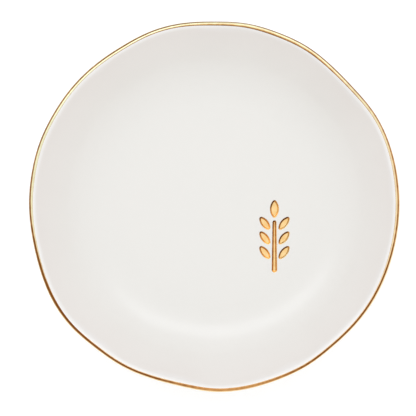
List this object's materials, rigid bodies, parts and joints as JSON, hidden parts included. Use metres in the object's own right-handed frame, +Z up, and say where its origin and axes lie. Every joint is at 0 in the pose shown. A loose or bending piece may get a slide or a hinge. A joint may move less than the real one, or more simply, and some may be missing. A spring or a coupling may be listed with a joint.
{
  "type": "ring dish",
  "caption": "Small round ceramic dish for rings with a softly waved flared wall, a foot ring, white glaze, a gilded lip and a gilded sprig stamped into the floor.",
  "frame": {"origin": "centre of the foot ring on the surface it stands on", "axes": "+Z up along the dish axis, +Y the way the stamped sprig points, +X to the right of it"},
  "size_m": [0.1001, 0.1001, 0.0185],
  "materials": {
    "bare_clay": "matt fired clay",
    "foot_clay": "matt fired clay, wiped clean of glaze",
    "white_glaze": "satin gloss white glaze",
    "rim_gold": "brushed-on fired gold lustre",
    "motif_gold": "fired gold lustre"
  },
  "bodies": {
    "root": {"clay_body": "bare_clay", "foot_ring": "foot_clay", "glaze_coat": "white_glaze", "base_glaze": "white_glaze", "rim_gilding": "rim_gold", "motif_gilding": "motif_gold"}
  },
  "joints": []
}
